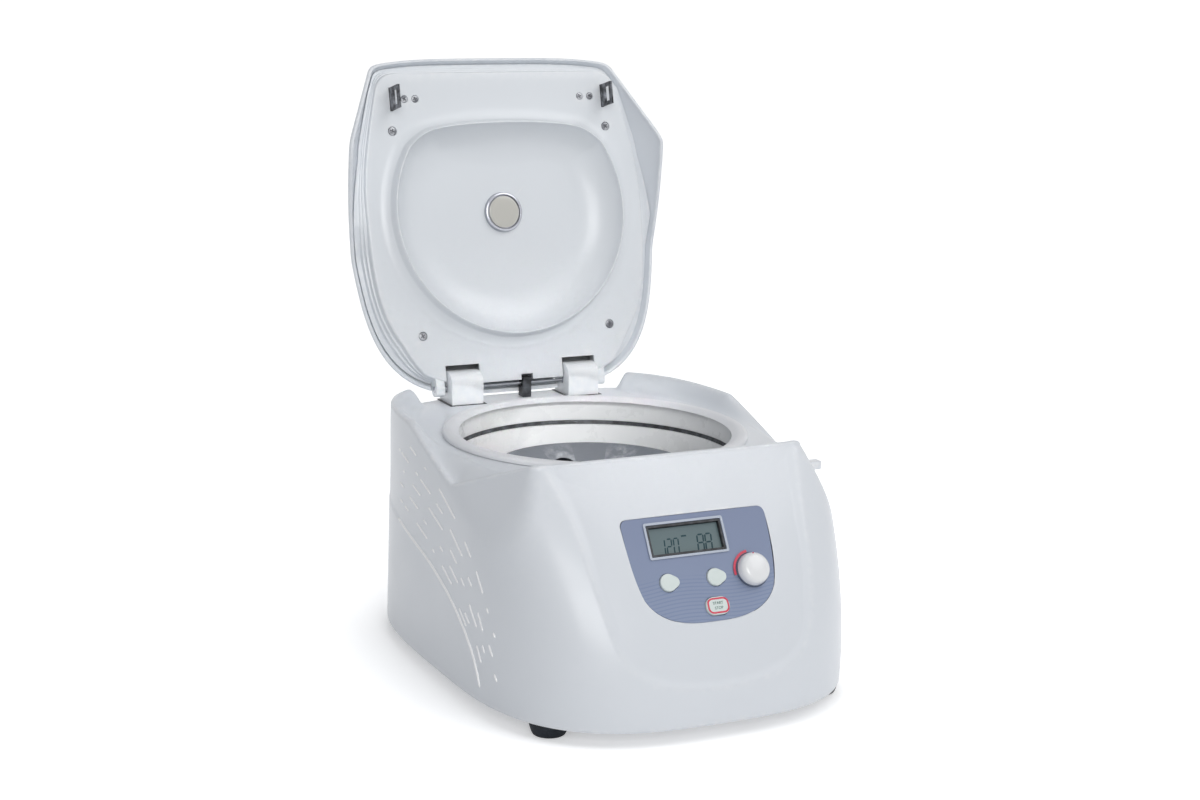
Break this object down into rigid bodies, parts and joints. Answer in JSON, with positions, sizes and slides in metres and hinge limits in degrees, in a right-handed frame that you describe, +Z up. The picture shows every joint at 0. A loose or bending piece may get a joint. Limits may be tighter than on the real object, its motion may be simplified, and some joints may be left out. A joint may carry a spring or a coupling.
{
  "type": "laboratory centrifuge",
  "caption": "Bench-top laboratory centrifuge with an open hinged dome lid, sealed bowl, angle rotor and a front control panel with display, keys and knob.",
  "frame": {"origin": "middle of the whole object's box, on the surface that it stands on, with the lid open", "axes": "+Z up, -Y the side with the control panel, +X to the right seen from the front"},
  "size_m": [0.28, 0.4436, 0.4296],
  "materials": {
    "white_housing": "smooth cool white moulded plastic with a soft satin gloss",
    "white_knob": "glossy white moulded plastic",
    "white_liner": "satin light grey-white moulded plastic",
    "bowl_lining": "satin pale grey bowl with a dark groove",
    "bowl_seal": "soft pale grey sealing rubber",
    "rubber_feet": "matt blue-black rubber",
    "control_overlay": "slate blue printed polyester film, satin",
    "display_glass": "grey-green reflective liquid crystal panel",
    "keys": "pale greenish white silicone keys",
    "sight_glass": "clear glass",
    "aluminium": "machined aluminium",
    "circuit_board": "green solder mask",
    "steel": "zinc plated and stainless steel",
    "dark_plastic": "black moulded plastic"
  },
  "bodies": {
    "base": {"housing": "white_housing", "base_plate": "aluminium", "foot_front_left": "rubber_feet", "foot_front_right": "rubber_feet", "foot_rear_left": "rubber_feet", "foot_rear_right": "rubber_feet", "base_screw_1": "steel", "base_screw_2": "steel", "base_screw_3": "steel", "base_screw_4": "steel", "bowl": "bowl_lining", "bowl_seal": "bowl_seal", "motor_body": "dark_plastic", "motor_plate": "steel", "motor_damper_1": "rubber_feet", "motor_damper_2": "rubber_feet", "motor_damper_3": "rubber_feet", "control_overlay": "control_overlay", "lcd_bezel": "dark_plastic", "lcd_panel": "display_glass", "control_board": "circuit_board", "knob_encoder": "dark_plastic", "time_key_switch": "dark_plastic", "speed_key_switch": "dark_plastic", "start_stop_key_switch": "dark_plastic", "power_inlet": "dark_plastic", "switch_frame": "dark_plastic", "power_board": "circuit_board", "power_transformer": "steel", "hinge_knuckle_left": "white_housing", "hinge_knuckle_right": "white_housing", "hinge_pin": "steel", "lid_sensor_clip": "dark_plastic", "latch_guide_left": "dark_plastic", "latch_guide_right": "dark_plastic"},
    "lid": {"lid_shell": "white_housing", "lid_liner": "white_liner", "sight_tube": "dark_plastic", "sight_ring": "steel", "sight_glass": "sight_glass", "lid_striker_left": "steel", "striker_screw_left_1": "steel", "striker_screw_left_2": "steel", "lid_striker_right": "steel", "striker_screw_right_1": "steel", "striker_screw_right_2": "steel", "liner_screw_1": "steel", "liner_screw_2": "steel", "liner_screw_3": "steel", "liner_screw_4": "steel"},
    "rotor": {"rotor": "aluminium", "rotor_nut": "dark_plastic", "motor_shaft": "steel"},
    "knob": {"speed_knob": "white_knob"},
    "time_key": {"time_key": "keys"},
    "speed_key": {"speed_key": "keys"},
    "start_stop_key": {"start_stop_key": "keys"},
    "latch": {"latch_bar": "white_housing"},
    "rocker": {"power_rocker": "dark_plastic"},
    "fuse_drawer": {"fuse_drawer": "dark_plastic"}
  },
  "joints": [
    {"name": "lid_hinge", "type": "hinge", "parent": "base", "child": "lid", "pos_m": [0, 0.12492, 0.1767], "axis": [1, 0, 0], "range_deg": [0, 103.67]},
    {"name": "rotor_spin", "type": "hinge", "parent": "base", "child": "rotor", "pos_m": [0, -0.01278, 0.11], "axis": [0, 0, 1], "continuous": true},
    {"name": "knob_turn", "type": "hinge", "parent": "base", "child": "knob", "pos_m": [0.0355, -0.18959, 0.10531], "axis": [0, -0.8572, 0.515], "continuous": true},
    {"name": "time_key_press", "type": "slide", "parent": "base", "child": "time_key", "axis": [0, 0.8572, -0.515], "range_m": [0, 0.001], "stiffness_N_per_m": 500},
    {"name": "speed_key_press", "type": "slide", "parent": "base", "child": "speed_key", "axis": [0, 0.8572, -0.515], "range_m": [0, 0.001], "stiffness_N_per_m": 500},
    {"name": "start_stop_key_press", "type": "slide", "parent": "base", "child": "start_stop_key", "axis": [0, 0.8572, -0.515], "range_m": [0, 0.001], "stiffness_N_per_m": 500},
    {"name": "latch_slide", "type": "slide", "parent": "base", "child": "latch", "axis": [-1, 0, 0], "range_m": [0, 0.005]},
    {"name": "rocker_tilt", "type": "hinge", "parent": "base", "child": "rocker", "pos_m": [-0.022, 0.13922, 0.042], "axis": [1, 0, 0], "range_deg": [-16, 0]},
    {"name": "fuse_drawer_slide", "type": "slide", "parent": "base", "child": "fuse_drawer", "axis": [0, 1, 0], "range_m": [0, 0.012]}
  ]
}
